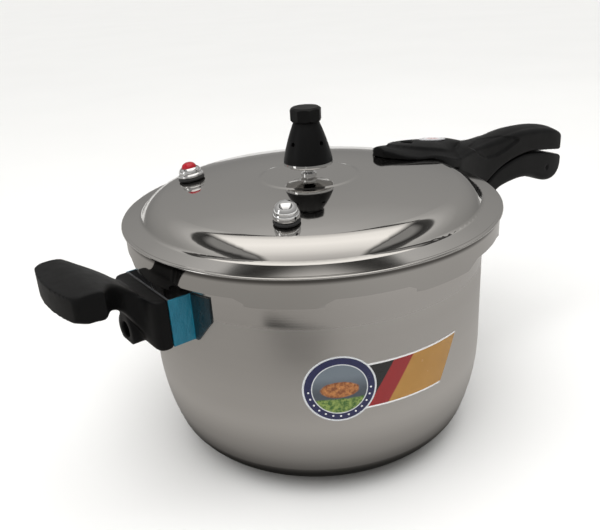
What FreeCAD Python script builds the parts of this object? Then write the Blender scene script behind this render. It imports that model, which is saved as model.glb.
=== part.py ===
import FreeCAD, Part
import math
import os

# A stainless steel bayonet pressure cooker with its lid locked on.
# Origin: middle of the base, on the surface it stands on. +X runs along the long handle, +Z is up.

# ---- Driving dimensions (mm) ------------------------------------------------------------------
cavity_radius = 120.0          # inside of the pot
pot_wall = 0.9
rim_height = 156.2             # top of the pot's bayonet flange
sweep_start = 75.0             # height where the straight wall starts to curve in
sweep_radius = 157.0           # slow curve of the lower wall
corner_radius = 29.0           # quick curve into the floor
core_thickness = 4.5           # aluminium heat-spreading disc
cap_wall = 0.8                 # steel cap around the disc
flange_thickness = 1.4
flange_gap_width = 3.5         # flange between the lugs
flange_lug_width = 8.4         # flange at the lugs
lug_count = 8
pot_lug_angle = 20.0
lid_lug_angle = 17.4
lid_lug_slope = 4.3            # angle taken by each sloped side of a lid lug

lid_wall = 1.2
skirt_clearance = 1.0          # pot lug to skirt
rim_roll = 2.0                 # rolled edge standing out from the skirt
roll_height = 1.8
seal_height = 14.9             # pot rim up to the underside of the rolled edge
border_tilt = 11.5             # slope of the lid's flat border, in degrees
border_width = 12.3
disc_radius = 33.6             # flat disc in the middle
disc_step = 0.5
disc_ramp = 2.4
crown_tilt = 10.0              # slope where the crown meets the shoulder
shoulder_radius = 23.0
shoulder_tilt = 55.0           # steepest slope of the shoulder
foot_radius = 4.0              # hollow bend between shoulder and border
notch_height = 5.0             # of the gaps in the skirt between its lugs

running_gap = 0.5              # between the bayonet lugs of pot and lid
touch_gap = 0.3                # between curved faces of different bodies
fit_gap = 0.1                  # between pieces fastened together

pipe_radius = 2.6
pipe_bore = 1.2
pipe_height = 20.0
weight_lift = 3.4              # collar of the weight above the lid
weight_radius = 17.6
cone_top_radius = 8.8
cone_height = 27.3
cone_wall = 2.2
side_hole_radius = 1.6
cap_width = 20.4               # across the flats
cap_height = 9.8

valve_inset = 16.0             # both valves stand this far in from the crown's edge
safety_azimuth = -136.5
indicator_azimuth = 131.5
safety_radius = 8.2
indicator_radius = 9.3
stem_radius = 4.0
stem_bore = 1.8
stem_depth = 13.0
safety_height = 13.8
safety_split = 7.6             # joint between the valve's body and its domed cap
indicator_height = 9.2
tip_radius = 5.6
tip_rise = 3.6
indicator_travel = 4.0

bracket_sheet = 1.2
bracket_half = 30.0
bracket_reach = 12.1           # outer face from the pot's wall
bracket_height = 31.5
bracket_room = 3.6             # below the lid's lugs
wing_angle = 6.3
wing_slant = 17.0              # height of the cut corner of a wing
screw_radius = 2.5
screw_head_radius = 4.3
screw_head_height = 2.6
screw_rise = 7.0               # handle screws above the bracket's lower edge

handle_gap = 1.3               # between the two long handles
slot_start = 120.0             # the slot between the handles opens from here to their ends
slot_slope = 0.11
screw_seat = 9.0               # handle screws' heads seat this far from the bracket
screw_grip = 4.5               # and reach this far through the bracket and its nut
well_gap = 1.0                 # round a sunk screw head
pad_length = 66.5              # of the lid handle, in from the lid's edge
oval_start = 9.0
oval_end = 26.0
oval_half = 17.4
oval_rise = 1.8
strap_half = 9.0
strap_thickness = 2.0
strap_front = 52.0             # strap's ends, from the lid's edge
strap_back = 16.0
front_screw_reach = 37.5
rear_screw_reach = 9.0
badge_half_length = 14.5
badge_half_width = 4.8
badge_thickness = 0.8
badge_reach = 58.5             # badge's middle, from the pad's tip
badge_rise = 1.0
badge_tilt = 9.0
fan_end = 60.9                 # helper grip, out from its root
fan_corner = 55.4
fan_half = 33.5
boss_radius = 11.0
boss_reach = 17.9
label_thickness = 0.15
label_radius = 23.0
label_azimuth = -121.4
label_height = 92.0
band_end = -79.8               # azimuth of the band's upper far corner
band_slant = 16.0
band_low = 75.5
band_high = 107.0

# ---- Derived places ---------------------------------------------------------------------------
pot_radius = cavity_radius + pot_wall
base_thickness = core_thickness + cap_wall + 0.2
skirt_radius = pot_radius + flange_lug_width + skirt_clearance + lid_wall
lid_radius = skirt_radius + rim_roll
roll_low = rim_height + seal_height
lug_low = rim_height - flange_thickness - running_gap - lid_wall
bracket_high = lug_low - bracket_room
bracket_low = bracket_high - bracket_height
pot_screw_height = bracket_low + screw_rise
border_edge = roll_low + roll_height
border_r = lid_radius - border_width
border_inner = border_edge + border_width * math.tan(math.radians(border_tilt))


def sin(degrees):
    return math.sin(math.radians(degrees))


def cos(degrees):
    return math.cos(math.radians(degrees))


crown_start = disc_radius + disc_ramp
shoulder_run = shoulder_radius * (sin(shoulder_tilt) - sin(crown_tilt))
foot_run = foot_radius * (sin(shoulder_tilt) - sin(border_tilt))
crown_edge = border_r - shoulder_run - foot_run
crown_radius = (crown_edge - crown_start) / sin(crown_tilt)
valve_circle = crown_edge - valve_inset
crown_drop = crown_radius * (1 - cos(crown_tilt))
shoulder_drop = shoulder_radius * (cos(crown_tilt) - cos(shoulder_tilt))
foot_drop = foot_radius * (cos(border_tilt) - cos(shoulder_tilt))
lid_top = border_inner + foot_drop + shoulder_drop + crown_drop + disc_step
pad_tip = lid_radius - pad_length
strap_start = lid_radius - strap_front
strap_end = lid_radius + strap_back
strap_z = border_edge + 4.5
front_screw = lid_radius - front_screw_reach
rear_screw = lid_radius + rear_screw_reach
V = FreeCAD.Vector
UP = V(0, 0, 1)
ORIGIN = V(0, 0, 0)


# ---- Small drawing helpers --------------------------------------------------------------------
def wire_on(place, path):
    """A closed wire. Each item is a corner, or a pair (middle of an arc, its end)."""
    edges = []
    last = place(*path[0])
    for item in path[1:] + [path[0]]:
        if isinstance(item[0], tuple):
            middle, end = place(*item[0]), place(*item[1])
            edges.append(Part.Arc(last, middle, end).toShape())
        else:
            end = place(*item)
            if end.distanceToPoint(last) < 1e-6:
                continue
            edges.append(Part.makeLine(last, end))
        last = end
    return Part.Wire(edges)


def turned(path, angle=360.0):
    """Turn an outline of (radius, height) about Z."""
    face = Part.Face(wire_on(lambda r, z: V(r, 0, z), path))
    return face.revolve(ORIGIN, UP, angle)


def plan(path, low, high):
    """Raise an outline of (x, y)."""
    face = Part.Face(wire_on(lambda x, y: V(x, y, low), path))
    return face.extrude(V(0, 0, high - low))


def side(path, half_width):
    """Spread an outline of (x, z) to both sides of the middle plane."""
    face = Part.Face(wire_on(lambda x, z: V(x, -half_width, z), path))
    return face.extrude(V(0, 2 * half_width, 0))


def ring(inner, outer, low, high):
    return turned([(inner, low), (outer, low), (outer, high), (inner, high)])


def rod(radius, low, high, x=0.0, y=0.0):
    return Part.makeCylinder(radius, high - low, V(x, y, low))


def rod_along_x(radius, start, end, z, y=0.0):
    low = min(start, end)
    return Part.makeCylinder(radius, abs(end - start), V(low, y, z), V(1, 0, 0))


def prism(sides, across_flats, low, high, x=0.0):
    """A nut or cap with flat sides."""
    corner = across_flats / 2 / math.cos(math.pi / sides)
    step = 2 * math.pi / sides
    path = [(x + corner * math.cos((k + 0.5) * step), corner * math.sin((k + 0.5) * step))
            for k in range(sides)]
    return plan(path, low, high)


def sector(inner, outer, low, high, middle, width):
    """A piece of a ring, by its middle azimuth and its width in degrees."""
    face = Part.Face(wire_on(lambda r, z: V(r, 0, z),
                             [(inner, low), (outer, low), (outer, high), (inner, high)]))
    piece = face.revolve(ORIGIN, UP, width)
    piece.rotate(ORIGIN, UP, middle - width / 2)
    return piece


def spun(shape, azimuth):
    copy = shape.copy()
    copy.rotate(ORIGIN, UP, azimuth)
    return copy


def mirrored(shape):
    copy = shape.copy()
    copy.rotate(ORIGIN, UP, 180)
    return copy


def fused(shapes):
    return shapes[0].multiFuse(shapes[1:]).removeSplitter()


def save(name, *shapes):
    shape = shapes[0] if len(shapes) == 1 else Part.makeCompound(list(shapes))
    for solid in shape.Solids:
        assert solid.isValid() and solid.Volume > 0, name
    shape.exportStep("parts/" + name + ".step")
    print(name, len(shape.Solids), round(shape.Volume / 1000, 2))


# ---- Lid surface ------------------------------------------------------------------------------
def lid_solid(inset, skirt_low):
    """Solid under the lid's upper surface, moved inwards evenly by inset, down to skirt_low."""
    path = [(0, lid_top - inset), (disc_radius, lid_top - inset)]
    x, z = crown_start, lid_top - disc_step
    path.append((x, z - inset))
    for radius, start, end in ((crown_radius, 0, crown_tilt),
                               (shoulder_radius, crown_tilt, shoulder_tilt),
                               (-foot_radius, shoulder_tilt, border_tilt)):
        middle = (start + end) / 2
        centre_x, centre_z = x - radius * sin(start), z - radius * cos(start)
        reach = radius - inset
        path.append(((centre_x + reach * sin(middle), centre_z + reach * cos(middle)),
                     (centre_x + reach * sin(end), centre_z + reach * cos(end))))
        x, z = centre_x + radius * sin(end), centre_z + radius * cos(end)
    last_x, last_z = path[-1][1]
    outer = skirt_radius - inset
    path.append((outer, last_z - (outer - last_x) * math.tan(math.radians(border_tilt))))
    path += [(outer, skirt_low), (0, skirt_low)]
    return turned(path)


def lid_height(r):
    """Height and slope of the lid's crown at radius r."""
    tilt = math.degrees(math.asin((r - crown_start) / crown_radius))
    return lid_top - disc_step - crown_radius * (1 - cos(tilt)), tilt


# ---- Pot --------------------------------------------------------------------------------------
def pot_solid(inset, top):
    """Solid inside the pot's outer surface, moved inwards evenly by inset."""
    small = corner_radius - inset
    large = sweep_radius - inset
    rise = sweep_start - base_thickness
    join = math.asin((rise - corner_radius) / (sweep_radius - corner_radius))
    far_r = pot_radius - sweep_radius
    near_r = far_r + (sweep_radius - corner_radius) * math.cos(join)
    near_z = base_thickness + corner_radius

    def low(angle):
        return near_r + small * math.cos(angle), near_z - small * math.sin(angle)

    def high(angle):
        return far_r + large * math.cos(angle), sweep_start - large * math.sin(angle)

    floor = low(math.pi / 2)
    path = [(0, floor[1]), floor, (low((join + math.pi / 2) / 2), low(join)),
            (high(join / 2), high(0)), (pot_radius - inset, top), (0, top)]
    return turned(path), near_r


def make_pot():
    outer, flat_radius = pot_solid(0, rim_height)
    inner = pot_solid(pot_wall, rim_height + 1)[0]
    low, high = rim_height - flange_thickness, rim_height
    flange = ring(pot_radius - pot_wall / 2, pot_radius + flange_gap_width, low, high)
    lugs = [sector(pot_radius, pot_radius + flange_lug_width, low, high,
                   k * 360.0 / lug_count, pot_lug_angle) for k in range(lug_count)]
    save("pot_shell", fused([outer, flange] + lugs).cut(inner))

    core_radius = flat_radius - cap_wall - fit_gap
    core_low = cap_wall + fit_gap
    save("base_core", ring(0, core_radius, core_low, base_thickness - fit_gap))
    edge = 1.6
    arc_middle = (flat_radius - edge * 0.293, edge * 0.293)
    cup = [(0, 0), (flat_radius - edge, 0), (arc_middle, (flat_radius, edge)),
           (flat_radius, base_thickness), (flat_radius - cap_wall, base_thickness),
           (flat_radius - cap_wall, cap_wall), (0, cap_wall)]
    save("base_cap", turned(cup))


def make_bracket(name, place):
    """Welded channel that carries a handle, drawn on the +X side."""
    outer_x = pot_radius + bracket_reach
    wing_end = math.degrees(math.asin(bracket_half / pot_radius)) + wing_angle
    root = pot_radius * cos(wing_end)
    block = plan([(root, -bracket_half), (outer_x, -bracket_half),
                  (outer_x, bracket_half), (root, bracket_half)], bracket_low, bracket_high)
    inside = bracket_half - bracket_sheet
    hollow = plan([(0, -inside), (outer_x - bracket_sheet, -inside),
                   (outer_x - bracket_sheet, inside), (0, inside)], bracket_low - 1, bracket_high + 1)
    channel = block.cut(hollow)
    wings = [sector(pot_radius + fit_gap, pot_radius + fit_gap + bracket_sheet, bracket_low, bracket_high,
                    turn * (wing_end - wing_angle / 2), wing_angle + 1.5) for turn in (1, -1)]
    shape = channel.multiFuse(wings)
    shape = shape.cut(pot_solid(-fit_gap, rim_height)[0])
    tip = pot_radius * sin(wing_end) + 3 * bracket_sheet
    corner = Part.Face(wire_on(lambda y, z: V(0, y, z),
                               [(bracket_half + 2, bracket_low - 1), (tip, bracket_low - 1),
                                (tip, bracket_low + wing_slant)])).extrude(V(pot_radius, 0, 0))
    shape = shape.cut(corner).cut(corner.mirror(ORIGIN, V(0, 1, 0)))
    hole = rod_along_x(screw_radius + fit_gap, outer_x - 5, outer_x + 5, pot_screw_height)
    save(name, place(shape.cut(hole)))
    back = outer_x - bracket_sheet - 0.01
    nut = prism(6, 9.0, 0, 4.0)
    nut = nut.cut(rod(screw_radius + fit_gap / 2, -1, 5))
    nut.rotate(ORIGIN, V(0, 1, 0), -90)
    nut.translate(V(back, 0, pot_screw_height))
    save(name.replace("bracket", "weld_nut"), place(nut))


def pan_screw(length):
    """A screw along +Z with its head below zero and its shank above."""
    head = turned([(0, -screw_head_height), (screw_head_radius - 1.2, -screw_head_height),
                   ((screw_head_radius - 0.35, -screw_head_height + 0.4), (screw_head_radius, -1.2)),
                   (screw_head_radius, 0), (0, 0)])
    cross = [Part.makeBox(w, d, 1.3, V(-w / 2, -d / 2, -screw_head_height - 0.1))
             for w, d in ((4.4, 0.9), (0.9, 4.4))]
    return head.fuse(rod(screw_radius, 0, length)).cut(cross[0].fuse(cross[1]))


def section(x, low, high, half, low_round, high_round, crown=0.3):
    """Rounded section across the X axis; its top rises by crown from its edges to its middle."""
    def place(y, z):
        return V(x, y, z)

    def quarter(cy, cz, radius, start):
        a, b = start + 45, start + 90
        return ((cy + radius * cos(a), cz + radius * sin(a)), (cy + radius * cos(b), cz + radius * sin(b)))
    a, b = low_round, high_round
    edge = high - crown
    return wire_on(place, [(half, low + a), (half, edge - b), quarter(half - b, edge - b, b, 0),
                           ((0, high), (b - half, edge)), quarter(b - half, edge - b, b, 90),
                           (-half, low + a), quarter(a - half, low + a, a, 180),
                           (half - a, low), quarter(half - a, low + a, a, 270)])


def loft(stations):
    return Part.makeLoft([section(*station) for station in stations], True, False)


# ---- Long handles -----------------------------------------------------------------------------
# Distances out from the lid's edge, and the height of the joint between the two handles there,
# above the underside of the lid's rolled edge.
split_line = ((3.5, -28.0), (34.0, -27.0), (47.0, -22.0), (60.0, -14.8), (78.0, -9.6), (97.0, -7.2),
              (116.0, -8.8), (135.0, -11.6), (158.0, -15.6))


def split_height(reach):
    """Height of the joint between the handles, by straight runs between its points."""
    for (r0, z0), (r1, z1) in zip(split_line, split_line[1:]):
        if reach <= r1:
            return roll_low + z0 + (z1 - z0) * (reach - r0) / (r1 - r0)
    return roll_low + split_line[-1][1]


def make_pot_handle():
    root = pot_radius + bracket_reach + fit_gap
    out = lid_radius
    # reach from the lid's edge, underside below the joint, half width
    rows = ((6.0, 31.0, 16.0), (18.0, 30.0, 15.0), (34.0, 26.0, 14.2), (47.0, 23.0, 13.8),
            (60.0, 20.2, 13.6), (78.0, 21.0, 13.8), (97.0, 22.8, 14.2), (112.0, 24.5, 14.6),
            (124.0, 28.0, 15.0), (136.0, 29.0, 15.0), (145.0, 26.0, 14.4), (151.5, 18.0, 13.4))
    stations = []
    for reach, depth, half in rows:
        top = split_height(reach) - handle_gap - max(0, reach - slot_start) * slot_slope
        low = split_height(reach) - depth
        stations.append((out + reach, low, top, half, 5.0, 2.2))
    low, top = stations[0][1:3]
    stations = [(root, low - 3.0, top - 0.5, 22.0, 4.0, 2.2),
                (root + 3.0, low - 2.0, top - 0.4, 19.5, 4.5, 2.2)] + stations
    body = loft(stations)
    seat = root + screw_seat
    well_end = root + 90
    pocket = rod_along_x(screw_head_radius + well_gap, seat, well_end, pot_screw_height)
    hole = rod_along_x(screw_radius + fit_gap, root - 1, seat + 1, pot_screw_height)
    save("pot_handle", body.cut(pocket).cut(hole))
    save("pot_handle_screw", handle_screw(seat))


def handle_screw(seat):
    length = seat - (pot_radius + bracket_reach) + screw_grip
    screw = pan_screw(length)
    screw.rotate(ORIGIN, V(0, 1, 0), -90)
    screw.translate(V(seat + 0.02, 0, pot_screw_height))
    return screw


def pad_rows(tip, raised):
    """Sections of the pad that lies on the lid: place, underside, top, half width, roundings, crown."""
    out = lid_radius
    rows = ((tip, 6.2, 6.0, 1.0), (tip + 3.5, 6.0, 9.5, 2.0), (tip + 14, 4.4, 20.5, 4.6),
            (tip + 28, 3.3, 22.3, 6.0), (tip + 45, 1.5, 23.4, 7.0), (out - 12, -0.1, 23.4, 8.6),
            (out + 3.5, -2.7, 21.6, 9.6))
    return [(x, lid_top - 34, lid_top + top + raised, half, 2.0, 1.8, crown)
            for x, top, half, crown in rows]


def grip_rows():
    """Sections of the upper grip, from the lid's edge outwards."""
    rows = ((3.5, -2.7, 21.6, 1.8, 9.6), (14.0, -4.5, 18.8, 2.2, 7.6), (26.0, -6.6, 16.4, 3.0, 4.8),
            (40.0, -8.4, 14.8, 4.0, 3.0), (54.0, -8.6, 14.2, 5.0, 2.2), (66.0, -8.1, 14.0, 5.5, 2.0),
            (84.0, -6.8, 14.0, 5.5, 2.0), (100.0, -6.9, 14.2, 5.5, 2.0), (118.0, -8.6, 14.6, 5.5, 2.0),
            (134.0, -11.6, 15.0, 5.2, 2.0), (143.0, -14.6, 15.0, 4.6, 2.0), (149.0, -18.2, 14.4, 4.0, 1.6))
    return [(lid_radius + reach, split_height(reach), lid_top + top, half, 2.2, edge, crown)
            for reach, top, half, edge, crown in rows]


def strap_solid(extra):
    """Steel strap under the lid handle, grown all round by extra for its pocket."""
    high = lid_height(strap_start)[0] + strap_thickness + extra
    top = strap_z + strap_thickness + extra
    low = strap_z - extra
    shoulder = lid_height(crown_edge)[0] + strap_thickness + extra
    bar = side([(strap_start - extra, roll_low), (strap_start - extra, high), (crown_edge + 2, shoulder),
                (border_r + 3, top), (strap_end + extra, top), (strap_end + extra, low), (border_r, low),
                (border_r - 6, border_inner - 6), (crown_edge - 10, roll_low)], strap_half + extra)
    return bar.cut(lid_solid(-fit_gap, roll_low - 60))


def make_lid_handle():
    pad = loft(pad_rows(pad_tip, 0))
    grip = loft(grip_rows())
    # raised pointed oval on top
    start, end = pad_tip + oval_start, lid_radius + oval_end
    middle = (start + end) / 2
    oval = plan([(start, 0), ((middle, -oval_half), (end, 0)), ((middle, oval_half), (start, 0))],
                lid_top - 15, lid_top + 12)
    last = (end + 1, lid_top - 34, lid_top - 6.6, 17.0, 2.0, 1.8, 6.4)
    oval = oval.common(loft(pad_rows(pad_tip, oval_rise) + [last]))
    body = fused([pad, grip, oval])
    body = body.cut(lid_solid(-fit_gap, roll_low - 60).common(rod(lid_radius + 1.5, 0, 400)))
    body = body.cut(ring(0, lid_radius + 1.5, 0, border_edge + 0.6))
    body = body.cut(strap_solid(fit_gap))

    front_seat = lid_height(front_screw)[0] + strap_thickness + 1.4
    rear_seat = strap_z - 6.0
    well = screw_head_radius + well_gap / 2
    bore = screw_radius + fit_gap
    body = body.cut(rod(well, front_seat, lid_top + 20, front_screw))
    body = body.cut(rod(bore, 0, lid_top + 20, front_screw))
    body = body.cut(rod(well, 0, rear_seat, rear_screw))
    body = body.cut(rod(bore, rear_seat - 1, strap_z + 6, rear_screw))

    badge_x = pad_tip + badge_reach
    badge_z = lid_top + badge_rise

    def on_pad(plate):
        plate.rotate(ORIGIN, V(0, 1, 0), badge_tilt)
        plate.translate(V(badge_x, 0, badge_z))
        return plate
    save("lid_handle", body.cut(on_pad(badge_plate(fit_gap, 0, 6.0))))
    save("lid_handle_badge", on_pad(badge_plate(0, 0.05, badge_thickness)))
    bar = strap_solid(0)
    save("lid_handle_strap", bar.cut(rod(bore, 0, 400, front_screw)).cut(rod(bore, 0, 400, rear_screw)))
    front = pan_screw(front_seat - lid_height(front_screw)[0] - 1.0)
    front.rotate(ORIGIN, V(1, 0, 0), 180)
    front.translate(V(front_screw, 0, front_seat + 0.02))
    rear = pan_screw(strap_z + 3.5 - rear_seat)
    rear.translate(V(rear_screw, 0, rear_seat - 0.02))
    save("lid_handle_screws", front, rear)


def badge_plate(extra, low, high):
    """Oval plate about the origin."""
    edge = Part.Ellipse(V(0, 0, low), badge_half_length + extra, badge_half_width + extra).toShape()
    return Part.Face(Part.Wire(edge)).extrude(V(0, 0, high - low))


# ---- Helper handle, drawn on the +X side and turned round --------------------------------------
def make_helper_handle():
    root = pot_radius + bracket_reach + fit_gap
    low, high = bracket_low, bracket_high
    # reach from the root, underside above low, top above high, half width, lower and upper rounding
    rows = ((0, -1.5, 1.0, 30.0, 3.0, 2.0), (5.0, -2.0, 1.0, 29.5, 3.0, 2.5),
            (8.8, -1.0, 1.4, 27.0, 3.0, 3.0), (11.5, 6.0, 3.4, 18.0, 4.0, 4.0),
            (16.0, 15.0, 7.0, 15.6, 4.0, 4.5), (20.5, 23.0, 11.0, 15.2, 4.0, 4.5),
            (27.0, 29.5, 15.6, 18.5, 4.0, 4.0), (33.0, 33.0, 18.6, 25.0, 4.0, 3.5),
            (38.0, 34.5, 20.4, 33.5, 4.0, 3.0), (50.0, 35.5, 21.8, 36.0, 4.0, 2.6),
            (62.0, 36.5, 22.4, 36.0, 4.0, 2.6))
    body = loft([(root + r, low + z0, high + z1, half, a, b) for r, z0, z1, half, a, b in rows])
    end, corner = root + fan_end, root + fan_corner
    fan = plan([(root - 1, -31), (root + 10, -31), (root + 26, -fan_half), (corner, -fan_half),
                ((end, 0), (corner, fan_half)), (root + 26, fan_half), (root + 10, 31), (root - 1, 31)],
               low - 10, high + 40)
    body = body.common(fan)
    seat = root + screw_seat
    boss = rod_along_x(boss_radius, root + 1, root + boss_reach, pot_screw_height)
    keep = plan([(root, -12), (root + 30, -12), (root + 30, 12), (root, 12)], low - 1.5, high)
    body = body.fuse(boss.common(keep))
    body = body.cut(rod_along_x(screw_head_radius + well_gap, seat, end, pot_screw_height))
    body = body.cut(rod_along_x(screw_radius + fit_gap, root - 1, seat + 1, pot_screw_height))
    save("helper_handle", mirrored(body))
    save("helper_screw", mirrored(handle_screw(seat)))


# ---- Lid --------------------------------------------------------------------------------------
def on_lid(shape, azimuth):
    """Stand a piece drawn about Z on the crown, square to it, at the valve circle."""
    height, tilt = lid_height(valve_circle)
    copy = shape.copy()
    copy.rotate(ORIGIN, V(0, 1, 0), tilt)
    copy.translate(V(valve_circle, 0, height))
    copy.rotate(ORIGIN, UP, azimuth)
    return copy


def make_lid():
    low = lug_low
    gap_low = lug_low + notch_height
    shell = lid_solid(0, low).cut(lid_solid(lid_wall, low - 5))
    roll_r = skirt_radius - 0.4
    edge = lid_radius
    lip = turned([(roll_r, border_edge + 0.3), (edge - 0.9, border_edge),
                  ((edge, border_edge - 0.9), (edge - 0.9, roll_low)), (roll_r, roll_low)])
    pitch = 360.0 / lug_count
    inner = pot_radius + flange_gap_width + skirt_clearance
    lugs = [sector(inner, skirt_radius - lid_wall / 2, low, low + lid_wall, k * pitch, lid_lug_angle)
            for k in range(lug_count)]
    shell = shell.multiFuse([lip] + lugs)
    top_half = skirt_radius * math.tan(math.radians((pitch - lid_lug_angle) / 2 - lid_lug_slope))
    low_half = skirt_radius * math.tan(math.radians((pitch - lid_lug_angle) / 2))
    deep = 1.0
    widen = (low_half - top_half) * deep / (gap_low - low)
    notch = Part.Face(wire_on(lambda y, z: V(inner + 2, y, z),
                              [(-low_half - widen, low - deep), (low_half + widen, low - deep),
                               (top_half, gap_low), (-top_half, gap_low)])).extrude(V(20, 0, 0))
    cutters = [spun(notch, (k + 0.5) * pitch) for k in range(lug_count)]
    holes = [on_lid(rod(stem_radius + fit_gap, -20, 20), azimuth)
             for azimuth in (safety_azimuth, indicator_azimuth)]
    holes.append(rod(stem_radius + fit_gap, 0, 400))
    for cutter in cutters + holes:
        shell = shell.cut(cutter)
    save("lid_shell", shell)


def make_gasket():
    low = rim_height + touch_gap
    outer = skirt_radius - lid_wall - touch_gap
    border = math.tan(math.radians(border_tilt))
    under = border_inner - lid_wall / cos(border_tilt) - touch_gap
    foot_in, foot_out = pot_radius - 0.6, pot_radius + flange_gap_width - 0.3
    leg = outer - 2.6
    web_low = under - (outer - border_r) * border - 2.8
    top_in = max(border_r + 0.5, foot_in)
    save("gasket", turned([
        (foot_in, low), (foot_out, low), (foot_out, web_low), (leg, web_low), (leg, low + 4.0),
        (outer, low + 4.0), (outer, under - (outer - border_r) * border),
        (top_in, under - (top_in - border_r) * border - 0.4), (foot_in, web_low + 1.0)]))


def make_vent():
    """Vent pipe through the middle of the lid, with its nut, washers and strainer."""
    under = lid_top - lid_wall
    shoulder = 5.6
    pipe = turned([(pipe_bore, under - stem_depth), (stem_radius, under - stem_depth),
                   (stem_radius, lid_top + 0.02), (shoulder, lid_top + 0.02), (shoulder, lid_top + 1.2),
                   (pipe_radius, lid_top + 2.0), (pipe_radius, lid_top + pipe_height - 1.0),
                   (pipe_bore + 0.5, lid_top + pipe_height), (pipe_bore, lid_top + pipe_height)])
    save("vent_pipe", pipe)
    make_lower_fixings("vent", lambda s: moved_up(s, lid_top))
    low = under - 7.6
    neck = stem_radius + fit_gap
    cup_radius, cup_wall = 10.0, 1.0
    strainer = turned([(neck, low), (cup_radius - cup_wall, low), (cup_radius - cup_wall, low - 7.0),
                       (0, low - 7.0), (0, low - 8.0), (cup_radius, low - 8.0),
                       (cup_radius, low + cup_wall), (neck, low + cup_wall)])
    slots = [spun(Part.makeBox(6, 1.6, 4.5, V(7, -0.8, low - 6.2)), k * 45.0) for k in range(8)]
    for slot in slots:
        strainer = strainer.cut(slot)
    save("vent_strainer", strainer)


def moved_up(shape, height):
    copy = shape.copy()
    copy.translate(V(0, 0, height))
    return copy


def make_lower_fixings(name, place):
    """Seal washer and nut that hold a stem from inside the lid; zero is the lid's upper surface."""
    top = -lid_wall - 0.15
    save(name + "_inner_washer", place(ring(stem_radius + fit_gap, 8.0, top - 1.5, top)))
    nut = prism(6, 13.0, top - 6.1, top - 1.6)
    save(name + "_nut", place(nut.cut(rod(stem_radius + fit_gap / 2, -30, 0))))


def valve_washer(radius):
    return turned([(stem_radius + fit_gap, 0.15), (radius - 0.6, 0.15),
                   ((radius + 0.3, 1.2), (radius - 0.6, 2.4)), (stem_radius + fit_gap, 2.4)])


def make_safety_valve():
    def place(shape):
        return on_lid(shape, safety_azimuth)
    seat, split = 3.6, safety_split
    radius, top = safety_radius, safety_height
    chamber = radius - 2.8
    stem_end = -lid_wall - stem_depth
    save("safety_washer", place(valve_washer(radius)))
    seat_face = 2.45
    body = turned([(stem_bore, stem_end), (stem_radius, stem_end), (stem_radius, seat_face),
                   (radius - 0.7, seat_face),
                   ((radius + 0.1, 4.6), (radius - 0.5, split)), (chamber, split), (chamber, seat),
                   (stem_bore, seat)])
    vent = rod_along_x(0.9, 0, radius + 3, 5.4)
    save("safety_valve_body", place(body.cut(spun(vent, -85.0 - safety_azimuth))))
    cap_low = split + 0.02
    inner_top = top - 2.0
    rim = radius - 0.6
    cap = turned([(0, inner_top), (chamber - 1.4, inner_top), (chamber, cap_low), (rim, cap_low),
                  ((rim * 0.74, top - 1.9), (0.8, top)), (0, top)])
    save("safety_valve_cap", place(cap))
    coil_radius = chamber - 2.2
    head = coil_radius + 0.6
    guide = stem_bore - touch_gap
    plunger = turned([(0, seat - 2.0), (guide, seat - 2.0), (guide, seat + 0.05), (head, seat + 0.05),
                      (head, seat + 1.0), (1.4, seat + 1.0), (1.4, seat + 3.0), (0, seat + 3.0)])
    save("safety_plunger", place(plunger))
    wire_radius = 0.35
    coil_low, coil_high = seat + 1.0 + wire_radius + 0.1, inner_top - wire_radius - 0.1
    helix = Part.makeHelix((coil_high - coil_low) / 4.0, coil_high - coil_low, coil_radius)
    wire = Part.Wire(Part.makeCircle(wire_radius, V(coil_radius, 0, 0), V(0, 1, 0)))
    spring = Part.Wire(helix).makePipeShell([wire], True, True)
    save("safety_spring", place(moved_up(spring, coil_low)))
    make_lower_fixings("safety", place)


def make_indicator():
    def place(shape):
        return on_lid(shape, indicator_azimuth)
    radius, top = indicator_radius, indicator_height
    save("indicator_washer", place(valve_washer(radius)))
    opening = tip_radius + touch_gap
    floor = 3.6
    waist = top - 4.0
    bottom = -lid_wall - stem_depth
    body = turned([(stem_bore, bottom), (stem_radius, bottom), (stem_radius, 2.45), (radius - 0.7, 2.45),
                   ((radius, 3.6), (radius - 0.9, waist - 0.4)), (radius - 1.3, waist),
                   ((radius - 1.5, top - 1.8), (opening + 0.2, top)), (opening, top), (opening, floor),
                   (stem_bore, floor)])
    save("indicator_housing", place(body))
    low = floor + touch_gap
    tip = turned([(0, low), (tip_radius, low), (tip_radius, top),
                  ((tip_radius * 0.72, top + tip_rise * 0.72), (0.8, top + tip_rise)), (0, top + tip_rise)])
    pin_radius = stem_bore - touch_gap
    tip = tip.cut(rod(pin_radius + 0.02, low - 1, low + 3))
    save("indicator_tip", place(tip))
    head = bottom - touch_gap - indicator_travel
    save("indicator_pin", place(rod(pin_radius, head - 2.0, low + 2.9)))
    save("indicator_seal", place(ring(pin_radius + 0.02, 3.2, head - 1.0, head)))
    make_lower_fixings("indicator", place)


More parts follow.
